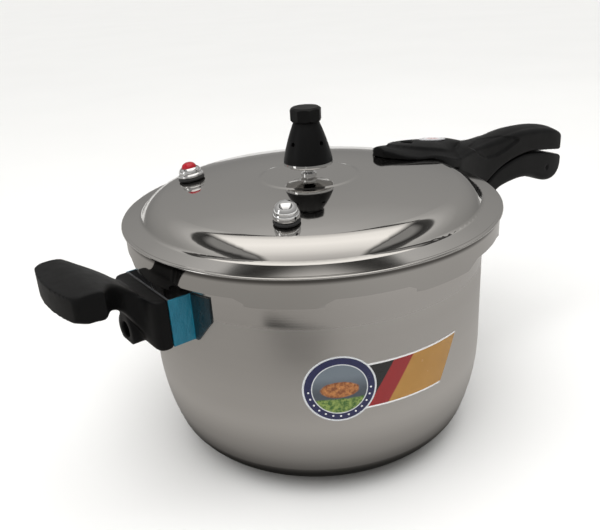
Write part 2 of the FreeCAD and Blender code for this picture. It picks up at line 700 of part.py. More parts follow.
# ---- Pressure weight --------------------------------------------------------------------------
def make_weight():
    low = lid_top + weight_lift
    dish_low = low + 1.2
    shell_low = dish_low + 5.6
    bore = pipe_radius + touch_gap
    seat = lid_top + pipe_height - 1.0 + touch_gap
    spigot = 5.6
    core_top = shell_low + cone_height - 3.0
    save("weight_core", turned([
        (bore, low), (spigot, low), (spigot, shell_low + 0.6), (8.4, shell_low + 0.6),
        (8.4, seat + 1.0), (spigot, seat + 3.0), (spigot, core_top), (0, core_top),
        (0, seat + 1.9), (0.8, seat + 1.2), (bore, seat)]))
    r = weight_radius
    save("weight_dish", turned([
        (spigot + fit_gap, dish_low), (r - 2.0, dish_low + 2.4),
        ((r - 0.3, dish_low + 3.3), (r, dish_low + 4.4)), (r, dish_low + 5.5),
        (spigot + fit_gap, dish_low + 5.5)]))
    top = shell_low + cone_height
    base = r - 0.3
    bulge = 0.8
    middle_out = ((base + cone_top_radius) / 2 + bulge, shell_low + cone_height / 2)
    middle_in = (middle_out[0] - cone_wall, middle_out[1])
    shell = turned([(base - cone_wall, shell_low), (base, shell_low), (middle_out, (cone_top_radius, top)),
                    (spigot + fit_gap, top), (spigot + fit_gap, top - 3.4),
                    (cone_top_radius - cone_wall + 0.6, top - 4.0),
                    (middle_in, (base - cone_wall, shell_low))])
    hole_z = shell_low + 13.5
    for k in range(4):
        shell = shell.cut(spun(rod_along_x(side_hole_radius, 4, 30, hole_z), -82.0 + 90.0 * k))
    save("weight_shell", shell)
    cap_low = top + 0.05
    corner = cap_width / 2 / math.cos(math.pi / 8)
    rim = turned([(0, cap_low), (corner - 1.4, cap_low), (corner + 0.2, cap_low + 1.6),
                  (corner + 0.2, cap_low + cap_height - 1.6), (corner - 2.0, cap_low + cap_height),
                  (0, cap_low + cap_height)])
    cap = prism(8, cap_width, cap_low, cap_low + cap_height).common(rim)
    save("weight_cap", cap)


# ---- Stick-on labels on the pot ---------------------------------------------------------------
def make_labels():
    """Thin films wrapped on the wall: a round one, and a slanted band beside it."""
    glue = 0.02
    film = pot_solid(-glue - label_thickness, rim_height - 20)[0].cut(pot_solid(-glue, rim_height)[0])
    disc = spun(rod_along_x(label_radius, 60, 2 * pot_radius, label_height), label_azimuth)
    save("round_label", film.common(disc))
    middle = (label_azimuth + band_end) / 2
    strip = sector(60, 2 * pot_radius, band_low, band_high, middle, band_end - label_azimuth)
    slant = Part.Face(wire_on(lambda y, z: V(60, y, z), [(0, band_high), (-band_slant, band_low - 1),
                                                         (40, band_low - 1), (40, band_high)]))
    slant = spun(slant.extrude(V(2 * pot_radius, 0, 0)), band_end)
    save("band_label", film.common(strip).cut(slant).cut(disc))


os.makedirs("parts", exist_ok=True)
make_pot()
make_bracket("pot_bracket", lambda shape: shape)
make_bracket("helper_bracket", mirrored)
make_pot_handle()
make_helper_handle()
make_labels()
make_gasket()
make_lid()
make_lid_handle()
make_vent()
make_safety_valve()
make_indicator()
make_weight()
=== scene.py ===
# %% [markdown]
# # A bayonet pressure cooker
# The fixed frame comes first: every shape, joint and size of the cooker is already settled in it.
# This script only adds looks around that frame. All lengths are in metres, the base stands on z = 0,
# the pot's axis is the Z axis and the long handle points along +X.

# %% Load the frame
import math
import bmesh
import bpy
from mathutils import Matrix, Vector


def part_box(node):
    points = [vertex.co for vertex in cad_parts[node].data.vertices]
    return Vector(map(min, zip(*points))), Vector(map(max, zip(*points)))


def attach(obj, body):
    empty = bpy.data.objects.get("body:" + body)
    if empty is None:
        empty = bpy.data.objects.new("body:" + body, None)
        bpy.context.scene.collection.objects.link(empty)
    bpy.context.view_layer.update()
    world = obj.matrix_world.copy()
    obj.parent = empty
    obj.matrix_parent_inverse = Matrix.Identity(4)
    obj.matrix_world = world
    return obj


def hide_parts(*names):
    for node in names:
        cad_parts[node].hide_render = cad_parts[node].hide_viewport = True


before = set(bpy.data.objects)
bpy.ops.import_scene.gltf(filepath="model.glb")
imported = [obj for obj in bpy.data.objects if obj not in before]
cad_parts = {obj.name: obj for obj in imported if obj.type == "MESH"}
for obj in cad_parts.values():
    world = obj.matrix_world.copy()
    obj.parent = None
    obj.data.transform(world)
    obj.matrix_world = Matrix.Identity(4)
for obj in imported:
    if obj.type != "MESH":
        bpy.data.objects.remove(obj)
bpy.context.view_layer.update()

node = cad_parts

# %% Places read from the frame
lid_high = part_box("lid_shell")[1]
lid_radius = lid_high.x
lid_top = lid_high.z
pot_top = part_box("pot_shell")[1].z
base_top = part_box("base_cap")[1].z
bracket_low, bracket_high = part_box("helper_bracket")
label_low, label_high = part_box("round_label")
band_low, band_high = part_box("band_label")
badge_low, badge_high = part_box("lid_handle_badge")
print("lid radius", round(lid_radius, 4), "lid top", round(lid_top, 4), "pot top", round(pot_top, 4))

# %% [markdown]
# ## Camera
# The cooker is seen from above its helper-handle side, a little more than a quarter turn from the long
# handle, and the view leans a few degrees. The camera is placed first, so that every later step can be
# looked at in the same view.

# %% Camera
camera_place = Vector((-0.2861, -0.3811, 0.3302))
camera_right = Vector((0.79619, -0.60221, -0.05850))
camera_up = Vector((0.28352, 0.28593, 0.91534))
camera_data = bpy.data.cameras.new("camera")
camera_data.lens = 41.70
camera_data.sensor_width = 36.0
camera = bpy.data.objects.new("camera", camera_data)
bpy.context.scene.collection.objects.link(camera)
camera_back = camera_right.cross(camera_up).normalized()
turn = Matrix((camera_right, camera_up, camera_back)).transposed()
camera.matrix_world = Matrix.Translation(camera_place) @ turn.to_4x4()
bpy.context.scene.camera = camera
print("camera", round((camera_place - Vector((0, 0, 0.1))).length, 3), "m from the pot")

# %% [markdown]
# ## Floor and light
# Polished steel shows its surroundings more than itself, so the studio is designed as a set of things
# to be reflected. A grey room with a thin dark line above head height gives the lid its smooth grey and
# its drawn line. One wide soft box overhead lights the scene but is hidden from reflections: the bright
# patch on the lid's shoulder is a painted reflection, drawn by a glowing card over the pot (below), and
# close by, the body's side reflects a painted ground card that lies on the pale floor. The plain
# "Standard" view keeps black plastic black.

# %% Mesh helper and floor
floor_size = 30.0


def make_mesh(name, points, faces):
    mesh = bpy.data.meshes.new(name)
    mesh.from_pydata([tuple(p) for p in points], [], faces)
    mesh.update()
    thing = bpy.data.objects.new(name, mesh)
    bpy.context.scene.collection.objects.link(thing)
    return thing


floor = make_mesh("floor", [(-floor_size, -floor_size, 0), (floor_size, -floor_size, 0),
                            (floor_size, floor_size, 0), (-floor_size, floor_size, 0)], [(0, 1, 2, 3)])
bpy.context.scene.view_settings.view_transform = "Standard"
print("floor", 2 * floor_size, "m across")

# %% World
# brightness of the room by height of the direction: elevation in degrees, then the value
room_levels = ((-90, 0.45), (-2, 0.40), (4, 0.28), (14, 0.36), (28, 0.44), (36, 0.56), (42, 0.72),
               (43, 0.10), (48, 0.05), (52, 0.36), (90, 0.36))
room_tint = (1.0, 0.985, 0.96)
world = bpy.data.worlds.new("studio")
bpy.context.scene.world = world
world.use_nodes = True
tree = world.node_tree
tree.nodes.clear()
output = tree.nodes.new("ShaderNodeOutputWorld")
background = tree.nodes.new("ShaderNodeBackground")
coordinate = tree.nodes.new("ShaderNodeTexCoord")
separate = tree.nodes.new("ShaderNodeSeparateXYZ")
ramp = tree.nodes.new("ShaderNodeValToRGB")
while len(ramp.color_ramp.elements) < len(room_levels):
    ramp.color_ramp.elements.new(0.5)
for element, (elevation, level) in zip(ramp.color_ramp.elements, room_levels):
    element.position = 0.5 + 0.5 * math.sin(math.radians(elevation))
    element.color = (*[level * part for part in room_tint], 1)
half = tree.nodes.new("ShaderNodeMath")
half.operation = "MULTIPLY_ADD"
half.inputs[1].default_value = 0.5
half.inputs[2].default_value = 0.5
tree.links.new(coordinate.outputs["Generated"], separate.inputs[0])
tree.links.new(separate.outputs["Z"], half.inputs[0])
tree.links.new(half.outputs[0], ramp.inputs[0])
tree.links.new(ramp.outputs[0], background.inputs["Color"])
tree.links.new(background.outputs[0], output.inputs["Surface"])
print("world with", len(room_levels), "levels")

# %% Lights
view_direction = Vector((camera_back.x, camera_back.y, 0)).normalized() * -1


def soft_light(name, place, aim, width, height, radiance):
    """A rectangular soft box; its power follows from how bright its face should look."""
    data = bpy.data.lights.new(name, "AREA")
    data.shape = "RECTANGLE"
    data.size = width
    data.size_y = height
    data.energy = radiance * math.pi * width * height
    thing = bpy.data.objects.new(name, data)
    thing.location = place
    thing.rotation_euler = (Vector(aim) - Vector(place)).to_track_quat("-Z", "Y").to_euler()
    bpy.context.scene.collection.objects.link(thing)
    return thing


box_height = 1.15
box_width = 1.2
box_depth = 1.9
box_front = 0.86
box_middle = view_direction * (box_front - box_depth / 2)
lamp_depth = 0.9
lamp_radiance = 0.9
overhead = soft_light("overhead box", box_middle + Vector((0, 0, box_height)), box_middle, box_width,
                      lamp_depth, lamp_radiance)
overhead.rotation_euler.z = math.atan2(view_direction.y, view_direction.x) - math.pi / 2
overhead.visible_glossy = False
soft_light("left wall", (-1.5, 0.35, 0.55), (0, 0, 0.12), 0.35, 0.8, 1.6)
sun_data = bpy.data.lights.new("ceiling bounce", "SUN")
sun_data.energy = 2.7
sun_data.angle = math.radians(60)
sun = bpy.data.objects.new("ceiling bounce", sun_data)
sun.rotation_euler = (math.radians(12), math.radians(-14), 0)
sun.visible_glossy = False
bpy.context.scene.collection.objects.link(sun)

# %% [markdown]
# ## Writing materials as expressions
# Every finish here is a node material: noise, rings and masks worked out from the piece's own
# coordinates, so nothing is painted and nothing slides. Wiring such trees by hand is hard to read, so a
# small class wraps a socket and lets ordinary Python operators add the Math nodes.

# %% Node helper
class Sock:
    """A socket that can be used in Python expressions; each operation adds a Math node."""

    def __init__(self, paint, socket):
        self.paint = paint
        self.socket = socket

    def math(self, operation, *others, clamp=False):
        values = [self, *others]
        return self.paint.node("Math", {"operation": operation, "use_clamp": clamp}, dict(enumerate(values)))

    def __add__(self, other):
        return self.math("ADD", other)

    __radd__ = __add__

    def __mul__(self, other):
        return self.math("MULTIPLY", other)

    __rmul__ = __mul__

    def __sub__(self, other):
        return self.math("SUBTRACT", other)

    def __rsub__(self, other):
        return self.paint.node("Math", {"operation": "SUBTRACT"}, {0: other, 1: self})

    def __truediv__(self, other):
        return self.math("DIVIDE", other)

    def above(self, edge, soft):
        """0 below edge, 1 above it, with a soft step."""
        return self.paint.node("MapRange", {"interpolation_type": "SMOOTHSTEP"},
                               {"Value": self, "From Min": edge - soft / 2, "From Max": edge + soft / 2})

    def below(self, edge, soft):
        return 1.0 - self.above(edge, soft)


class Paint:
    """One material and the node maker for it."""

    def __init__(self, name, color, metallic=0.0, roughness=0.5, **constants):
        self.material = bpy.data.materials.new(name)
        self.material.use_nodes = True
        self.tree = self.material.node_tree
        self.shader = next(n for n in self.tree.nodes if n.type == "BSDF_PRINCIPLED")
        self.set("Base Color", (*color, 1))
        self.set("Metallic", metallic)
        self.set("Roughness", roughness)
        for key, value in constants.items():
            self.set(key.replace("_", " "), value)

    def set(self, name, value):
        socket = self.shader.inputs[name]
        if isinstance(value, Sock):
            self.tree.links.new(value.socket, socket)
        else:
            socket.default_value = value

    def node(self, kind, settings=None, sockets=None, out=0):
        made = self.tree.nodes.new("ShaderNode" + kind)
        for key, value in (settings or {}).items():
            setattr(made, key, value)
        for key, value in (sockets or {}).items():
            if isinstance(value, Sock):
                self.tree.links.new(value.socket, made.inputs[key])
            else:
                made.inputs[key].default_value = value
        return Sock(self, made.outputs[out])

    def place(self, scale=(1, 1, 1)):
        spot = self.node("TexCoord", out="Object")
        return self.node("Mapping", {}, {"Vector": spot, "Scale": scale})

    def axes(self):
        """X, Y and Z of a point on the piece."""
        spot = self.node("TexCoord", out="Object")
        split = self.node("SeparateXYZ", {}, {0: spot})
        made = split.socket.node
        return [Sock(self, made.outputs[k]) for k in range(3)]

    def noise(self, scale, detail=2.0, stretch=(1, 1, 1), roughness=0.5):
        return self.node("TexNoise", {}, {"Vector": self.place(stretch), "Scale": scale,
                                          "Detail": detail, "Roughness": roughness})

    def mix(self, mask, first, second):
        """Colour that goes from first to second as mask goes from 0 to 1."""
        sides = [(*side, 1) if isinstance(side, tuple) else side for side in (first, second)]
        return self.node("Mix", {"data_type": "RGBA"}, {0: mask, 6: sides[0], 7: sides[1]}, out=2)

    def bump(self, height, distance, strength=1.0):
        self.set("Normal", self.node("Bump", {}, {"Height": height, "Distance": distance,
                                                  "Strength": strength}))


def dress(paint, *names):
    """Give a material to CAD nodes or to made pieces."""
    for name in names:
        thing = node.get(name) or bpy.data.objects[name]
        thing.data.materials.clear()
        thing.data.materials.append(paint.material)


# %% [markdown]
# ## Reflection cards
# Two glowing cards paint what the shiny steel reflects: one lies under the pot and one hangs over it.
# They light nothing and are seen by reflections only, so the floor stays pale while the steel shows a
# painted reflection of a darker ground and of a bright ceiling with a dark frame, with a painted shadow
# of the pot and of a camera stand that is not in the scene.

# %% Cards that only reflections can see
def card(name, points, faces, strength=1.0):
    """A glowing card that lights nothing and that only shiny surfaces can see: a painted reflection."""
    made = make_mesh(name, points, faces)
    made.visible_camera = False
    made.visible_diffuse = False
    made.visible_shadow = False
    shade = Paint(name, (0, 0, 0), 0.0, 1.0, Specular_IOR_Level=0.0, Emission_Strength=strength)
    made.data.materials.append(shade.material)
    return shade


def ramp_of(paint, value, stops):
    """Grey that follows (place, level) stops over value."""
    made = paint.node("ValToRGB", {}, {0: value})
    elements = made.socket.node.color_ramp.elements
    while len(elements) < len(stops):
        elements.new(0.5)
    for element, (place, level) in zip(elements, stops):
        element.position = place
        element.color = (level, level * 0.975, level * 0.94, 1)
    return made


# %% Ground card
# A painted reflection of the floor near the pot: a painted shadow of the pot round its foot, painted shade on
# one side, and a painted shadow of a camera stand.
card_size = 1.6
# The dark middle and the dark ring round the pot's foot are a painted shadow of the pot.
ground_levels = ((0.0, 0.03), (0.070, 0.03), (0.080, 0.36), (0.11, 0.58), (0.20, 0.46), (0.5, 0.62),
                 (1.0, 0.52))
ground_points = [(card_size * math.cos(math.tau * k / 48), card_size * math.sin(math.tau * k / 48), 0.0004)
                 for k in range(48)]
ground = card("ground card", ground_points, [tuple(range(48))])
x, y, z = ground.axes()
level = ramp_of(ground, (x * x + y * y).math("SQRT") / card_size, ground_levels)
# One side of the card is made darker: painted shade.
dim_side = (x * 0.83 - y * 0.55).above(0.10, 0.55)
level = ground.mix(dim_side, ground.node("Gamma", {}, {"Color": level, "Gamma": 1.35}), level)
# A long dark blot on the card: the painted shadow of a camera stand.
stand_shadow_place = Vector((-0.255, -0.225, 0))
off_x, off_y = x - stand_shadow_place.x, y - stand_shadow_place.y
stand_shadow_x = off_x * 0.8 - off_y * 0.6
stand_shadow_y = off_x * 0.6 + off_y * 0.8
stand_shadow = (stand_shadow_x * stand_shadow_x / 0.012 + stand_shadow_y * stand_shadow_y / 0.0011).below(1.0, 0.9)
level = ground.mix(stand_shadow * 0.9, level, (0.02, 0.02, 0.02))
ground.set("Emission Color", level)
print("ground card", 2 * card_size, "m across")

# %% Ceiling card
# A painted reflection of the overhead soft box, which is itself hidden from reflections. It starts with a dark
# frame, brightens away from it, and its sides fall off softly.
side_way = Vector((view_direction.y, -view_direction.x, 0))
ceiling_corners = [view_direction * along + side_way * across + Vector((0, 0, box_height))
                   for along, across in ((box_front, -box_width / 2), (box_front - box_depth, -box_width / 2),
                                         (box_front - box_depth, box_width / 2), (box_front, box_width / 2))]
ceiling = card("ceiling card", ceiling_corners, [(0, 1, 2, 3)])
x, y, z = ceiling.axes()
back = (box_front - (x * view_direction.x + y * view_direction.y)) / box_depth
across = (x * side_way.x + y * side_way.y).math("ABSOLUTE") / (box_width / 2)
ceiling_levels = ((0.0, 0.03), (0.030, 0.04), (0.05, 0.9), (0.20, 1.45), (0.42, 1.6), (0.62, 1.3),
                  (1.0, 0.45))
glow = ramp_of(ceiling, back, ceiling_levels)
ceiling.set("Emission Color", ceiling.mix(across.above(0.90, 0.2), glow, (0.10, 0.098, 0.095)))
print("ceiling card", box_width, "x", box_depth, "m at", box_height, "m")

# %% [markdown]
# ## Floor finish
# The floor is plain pale paper with a very slow change of tone, so that it isn't one flat colour.

# %% Floor finish
pale = Paint("pale floor", (0.80, 0.80, 0.79), 0.0, 0.6)
pale.set("Base Color", pale.mix(pale.noise(3.0, 3.0), (0.80, 0.80, 0.79), (0.84, 0.84, 0.83)))
floor.data.materials.append(pale.material)
print("floor finish", pale.material.name)

# %% [markdown]
# ## Steel
# Three steels are on this cooker. The body is brushed round and round with a fine belt, so its gloss is
# satin and its scratches run level; the last centimetre under the rim was buffed. The lid and the small
# fittings are mirror polished, and only a slow waviness and a trace of haze keep them from looking like
# glass. The marks are made with noise stretched a long way round the axis and hardly at all along it.

# %% Brushed steel of the body
def brushed_steel():
    paint = Paint("brushed steel", (0.60, 0.585, 0.565), 1.0, 0.3, Anisotropic=0.5)
    x, y, z = paint.axes()
    lines = paint.noise(1.0, 4.0, (7, 7, 2400), 0.7)
    bands = paint.noise(1.0, 2.0, (3, 3, 90))
    cloud = paint.noise(9.0, 2.0)
    warm = paint.mix(bands * 0.6 + cloud * 0.4, (0.60, 0.578, 0.555), (0.67, 0.652, 0.63))
    low_shade = z.below(base_top + 0.022, 0.05)
    paint.set("Base Color", paint.mix(low_shade * 0.45, warm, (0.40, 0.385, 0.37)))
    buffed = z.above(pot_top - 0.021, 0.004)
    paint.set("Roughness", (lines * 0.12 + cloud * 0.05 + 0.22) * (1.0 - buffed * 0.62))
    paint.bump(lines, 0.00002, 0.35)
    return paint


# %% Polished steel of the lid
def polished_steel(name, color, low, high, wave=0.10):
    paint = Paint(name, color, 1.0, low)
    haze = paint.noise(14, 3.0)
    darker = tuple(part * 0.96 for part in color)
    paint.set("Base Color", paint.mix(haze, darker, color))
    paint.set("Roughness", haze * (high - low) + low)
    paint.bump(paint.noise(9, 1.0), 0.0002, wave)
    return paint


# %% Plain finishes of the small parts
def plain(name, color, metallic, roughness, grain=900, depth=0.00004):
    """A small or hidden finish: slightly uneven colour and gloss with a fine grain."""
    paint = Paint(name, color, metallic, roughness)
    cloud = paint.noise(40, 2.0)
    light = tuple(min(1, part * 1.15) for part in color)
    dark = tuple(part * 0.85 for part in color)
    paint.set("Base Color", paint.mix(cloud, dark, light))
    paint.set("Roughness", cloud * 0.15 + (roughness - 0.07))
    paint.bump(paint.noise(grain, 2.0), depth, 0.4)
    return paint


body_steel = brushed_steel()
lid_steel = polished_steel("polished steel", (0.545, 0.53, 0.51), 0.045, 0.08)
outer_rim = [corner.co.z for corner in node["lid_shell"].data.vertices
             if math.hypot(corner.co.x, corner.co.y) > lid_radius - 0.0002]
roll_low = min(outer_rim)
x, y, z = lid_steel.axes()
shaded = z.below(roll_low + 0.0004, 0.0006) * z.above(roll_low - 0.0030, 0.0030)
tone = Sock(lid_steel, lid_steel.shader.inputs["Base Color"].links[0].from_socket)
lid_steel.set("Base Color", lid_steel.mix(shaded * 0.85, tone, (0.05, 0.045, 0.04)))
print("rolled rim ends at", round(roll_low, 4))
chrome = polished_steel("chrome", (0.80, 0.80, 0.80), 0.03, 0.06, 0.05)
base_steel = polished_steel("base steel", (0.42, 0.40, 0.385), 0.16, 0.26)
zinc = plain("zinc plate", (0.62, 0.62, 0.63), 1.0, 0.35)
aluminium = plain("aluminium", (0.75, 0.75, 0.77), 1.0, 0.4)

dress(body_steel, "pot_shell")
dress(lid_steel, "lid_shell")
dress(base_steel, "base_cap", "pot_bracket", "lid_handle_strap")
dress(chrome, "safety_valve_body", "safety_valve_cap", "indicator_housing", "weight_dish", "weight_core",
      "vent_pipe")
dress(zinc, "pot_weld_nut", "helper_weld_nut", "pot_handle_screw", "helper_screw", "lid_handle_screws",
      "vent_nut", "vent_strainer", "safety_nut", "indicator_nut", "safety_plunger", "safety_spring",
      "indicator_pin")
dress(aluminium, "base_core")
print("steels:", [paint.material.name for paint in (body_steel, lid_steel, chrome, base_steel, zinc, aluminium)])

# %% [markdown]
# ## Plastic, rubber and film
# The handles are compression moulded phenolic: very dark, a little grey where it has been handled, with
# a fine pitted skin. The sealing washers are black rubber, the pressure indicator is red silicone, and
# the helper's bracket still wears the blue protective film of the sheet it was folded from, creased
# where it was pressed. The film is only on the outer faces, so its colour is masked by place; on the
# wings it is given a much darker copy, which is painted shade.

# %% Black moulded plastic
def moulded_black():
    paint = Paint("moulded black", (0.004, 0.004, 0.0042), 0.0, 0.42, Specular_IOR_Level=0.14)
    cloud = paint.noise(35, 4.0)
    paint.set("Base Color", paint.mix(cloud, (0.0020, 0.0020, 0.0021), (0.0052, 0.0052, 0.0054)))
    paint.set("Roughness", paint.noise(160, 3.0) * 0.16 + 0.36)
    paint.bump(paint.noise(2200, 2.0), 0.00005, 0.45)
    return paint


# %% Blue film on the helper's bracket
def blue_film():
    paint = Paint("blue film", (0.004, 0.26, 0.36), 0.0, 0.3)
    x, y, z = paint.axes()
    side = y.math("ABSOLUTE").above(plate_half - 0.0008, 0.0004)
    wing = y.math("ABSOLUTE").above(plate_half + 0.0006, 0.0008)
    crease = paint.noise(120, 4.0, (1, 1, 0.6), 0.65)
    # The same film in two tones: the lighter one on the side plates, the much darker one on the wings as painted
    # shade.
    bright = paint.mix(crease, (0.0010, 0.10, 0.17), (0.004, 0.19, 0.28))
    dark = paint.mix(crease, (0.0010, 0.010, 0.016), (0.002, 0.030, 0.045))
    steel = (0.05, 0.052, 0.055)
    paint.set("Base Color", paint.mix(side, steel, paint.mix(wing, bright, dark)))
    paint.set("Roughness", crease * 0.2 + 0.22)
    paint.bump(crease, 0.0014, 0.8)
    return paint


plate_half = 0.0300
black = moulded_black()
rubber = plain("black rubber", (0.016, 0.016, 0.016), 0.0, 0.6)
seal = plain("silicone", (0.62, 0.61, 0.58), 0.0, 0.45)
red = plain("red silicone", (0.36, 0.004, 0.014), 0.0, 0.16, 300, 0.00002)
film = blue_film()
dress(black, "pot_handle", "lid_handle", "helper_handle", "weight_shell", "weight_cap")
dress(rubber, "vent_inner_washer", "safety_inner_washer", "indicator_inner_washer", "safety_washer",
      "indicator_washer", "indicator_seal")
dress(seal, "gasket")
dress(red, "indicator_tip")
dress(film, "helper_bracket")
print("soft and moulded:", [paint.material.name for paint in (black, rubber, seal, red, film)])

# %% [markdown]
# ## Stuck-on labels
# Two printed films are wrapped on the wall: a round badge, and beside it a slanted band in black, red
# and gold. Nothing is written on them here. The print is worked out on the unrolled wall: the distance
# round the wall is the azimuth times the wall's radius, and the height is simply Z.

# %% Sizes of the labels
label_middle = (label_low + label_high) / 2
label_azimuth = math.atan2(label_middle.y, label_middle.x)
badge_radius = (label_high.z - label_low.z) / 2
wall_radius = 0.1209
inner_ring = badge_radius * 0.735
outer_ring = badge_radius * 0.955
print("badge radius", round(badge_radius, 4), "azimuth", round(math.degrees(label_azimuth), 1))


def unrolled(paint):
    """Distance round the wall from the badge's middle, and height above it."""
    x, y, z = paint.axes()
    return (y.math("ARCTAN2", x) - label_azimuth) * wall_radius, z - label_middle.z


# %% Round badge print
def badge_print():
    paint = Paint("badge print", (0.8, 0.8, 0.8), 0.0, 0.25, Coat_Weight=0.6)
    round_the_wall, height = unrolled(paint)
    radius = (round_the_wall * round_the_wall + height * height).math("SQRT")
    white = (0.62, 0.64, 0.66)
    mottle = paint.noise(420, 4.0, (1, 1, 1), 0.6)
    sky = paint.mix(height.above(0.004, 0.016) + mottle * 0.2, (0.045, 0.055, 0.07), (0.14, 0.17, 0.20))
    across = round_the_wall / 0.0122
    up = (height + 0.0005) / 0.0056
    oval = (across * across + up * up + mottle * 0.5).below(1.2, 0.3)
    crust = paint.mix(mottle.above(0.5, 0.35), (0.17, 0.045, 0.012), (0.48, 0.19, 0.05))
    dish = paint.mix(oval, sky, crust)
    strip = (height + mottle * 0.004).below(-0.0050, 0.0012)
    greens = paint.mix(mottle.above(0.5, 0.3), (0.03, 0.10, 0.015), (0.24, 0.32, 0.07))
    picture = paint.mix(strip, dish, greens)
    ring = paint.mix(radius.above(inner_ring, 0.0003), picture, white)
    ring = paint.mix(radius.above(inner_ring + 0.0006, 0.0003), ring, (0.010, 0.013, 0.065))
    ring = paint.mix(radius.above(outer_ring, 0.0003), ring, white)
    paint.set("Base Color", ring)
    paint.set("Roughness", paint.noise(220, 2.0) * 0.10 + 0.20)
    return paint


# %% Slanted band print
def band_print():
    paint = Paint("band print", (0.5, 0.3, 0.1), 0.0, 0.25, Coat_Weight=0.6)
    round_the_wall, height = unrolled(paint)
    slant = round_the_wall + height * -0.62
    gold_shade = paint.noise(60, 2.0)
    gold = paint.mix(gold_shade, (0.36, 0.175, 0.025), (0.46, 0.235, 0.045))
    red = paint.mix(slant.above(0.0405, 0.0012), (0.27, 0.009, 0.011), gold)
    area = paint.mix(slant.above(0.0265, 0.0012), (0.008, 0.008, 0.009), red)
    middle = height - ((band_high.z + band_low.z) / 2 - label_middle.z)
    edge = middle.math("ABSOLUTE").above((band_high.z - band_low.z) / 2 - 0.0011, 0.0003)
    paint.set("Base Color", paint.mix(edge, area, (0.80, 0.80, 0.80)))
    paint.set("Roughness", paint.noise(220, 2.0) * 0.10 + 0.20)
    return paint


# %% Print on the lid handle's badge
def handle_badge_print():
    """A pale oval plate with a faint warm smudge where a mark would be; it says nothing."""
    paint = Paint("handle badge", (0.78, 0.78, 0.79), 0.0, 0.3, Coat_Weight=0.5)
    x, y, z = paint.axes()
    middle = (badge_low + badge_high) / 2
    along = (x - middle.x) / ((badge_high.x - badge_low.x) * 0.22)
    across = (y - middle.y) / ((badge_high.y - badge_low.y) * 0.34)
    smudge = (along * along + across * across).below(1.0, 0.9)
    paint.set("Base Color", paint.mix(smudge * paint.noise(700, 3.0), (0.78, 0.78, 0.80), (0.62, 0.22, 0.20)))
    paint.set("Roughness", paint.noise(300, 2.0) * 0.12 + 0.22)
    return paint


dress(badge_print(), "round_label")
dress(band_print(), "band_label")
dress(handle_badge_print(), "lid_handle_badge")
undressed = [name for name, thing in node.items() if not thing.data.materials]
print("nodes with no finish:", undressed)

# %% [markdown]
# ## Handles
# A moulded handle has no sharp edge anywhere: the mould's corners are rounded so that the plastic flows
# and the hand is not cut. The frame's handles have the right outline but crisp edges, so a copy of each
# is turned into an even skin of small faces with a voxel remesh, smoothed a little, and then pressed
# where the real one has a thumb recess or a dimple. The frame's own handles are left alone and hidden.

# %% An even skin over a CAD node
def skin(name, source, voxel, rounds):
    """Merged and evenly remeshed copy of a CAD node, smooth enough to be shaped further."""
    piece = bpy.data.objects.new(name, node[source].data.copy())
    bpy.context.scene.collection.objects.link(piece)
    piece.data.materials.clear()
    merged = bmesh.new()
    merged.from_mesh(piece.data)
    bmesh.ops.remove_doubles(merged, verts=merged.verts, dist=0.000002)
    merged.to_mesh(piece.data)
    merged.free()
    even = piece.modifiers.new("even skin", "REMESH")
    even.mode = "VOXEL"
    even.voxel_size = voxel
    soft = piece.modifiers.new("soft edges", "SMOOTH")
    soft.factor = 0.5
    soft.iterations = rounds
    graph = bpy.context.evaluated_depsgraph_get()
    mesh = bpy.data.meshes.new_from_object(piece.evaluated_get(graph))
    piece.modifiers.clear()
    piece.data = mesh
    mesh.name = name
    mesh.shade_smooth()
    print(name, len(mesh.polygons), "faces")
    return piece


def step(value, edge, soft):
    """0 below edge, 1 above it, smoothly over the width soft."""
    t = min(1.0, max(0.0, (value - edge) / soft + 0.5))
    return t * t * (3 - 2 * t)


def follow(points, x):
    """Height of a broken line through points at x."""
    for (x0, z0), (x1, z1) in zip(points, points[1:]):
        if x0 <= x <= x1:
            return z0 + (z1 - z0) * (x - x0) / (x1 - x0)
    return points[0][1] if x < points[0][0] else points[-1][1]


# %% Lid handle with its thumb recesses
fine_voxel = 0.00095
soft_rounds = 5
recess_depth = 0.0017
recess_top = ((0.156, 0.1838), (0.180, 0.1846), (0.203, 0.1836), (0.214, 0.1812), (0.221, 0.1775))
recess_floor = ((0.156, 0.1838), (0.166, 0.1758), (0.178, 0.1700), (0.190, 0.1694), (0.203, 0.1718),
                (0.221, 0.1775))
lid_grip = skin("lid_grip", "lid_handle", fine_voxel, soft_rounds)
pressed = 0
for corner in lid_grip.data.vertices:
    x, y, z = corner.co
    if not recess_top[0][0] < x < recess_top[-1][0] or abs(corner.normal.y) < 0.35:
        continue
    inside = min(follow(recess_top, x) - z, z - follow(recess_floor, x))
    amount = recess_depth * step(inside, 0.0004, 0.0014)
    if amount > 0:
        corner.co.y -= math.copysign(amount, y)
        pressed += 1
print("thumb recess pressed", pressed, "corners")

# %% Pot handle with the dimple near its end
pot_grip = skin("pot_grip", "pot_handle", fine_voxel, soft_rounds)
dimple_place = (0.2625, 0.1443)
dimple_radius = 0.0030
dimple_depth = 0.0012
for corner in pot_grip.data.vertices:
    x, y, z = corner.co
    off = math.hypot(x - dimple_place[0], z - dimple_place[1])
    if off < dimple_radius and abs(corner.normal.y) > 0.4:
        corner.co.y -= math.copysign(dimple_depth * step(dimple_radius - off, 0.0012, 0.0022), y)
print("dimple", 2 * dimple_radius, "m across")

# %% Helper handle
helper_voxel = 0.0008
helper_grip = skin("helper_grip", "helper_handle", helper_voxel, soft_rounds)
for piece, source, body in ((lid_grip, "lid_handle", "lid"), (pot_grip, "pot_handle", "pot"),
                            (helper_grip, "helper_handle", "pot")):
    piece.data.materials.append(black.material)
    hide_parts(source)
    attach(piece, body)
print("handles ride on lid and pot")

# %% [markdown]
# ## Repeated marks
# The brackets are spot welded to the pot, which leaves a column of small round dimples on each wing, and
# the badge's ring carries a row of printed dots. Both are the same job: one small dome repeated at given
# places, facing given ways. A Geometry Nodes tree does it once and is used for each group.

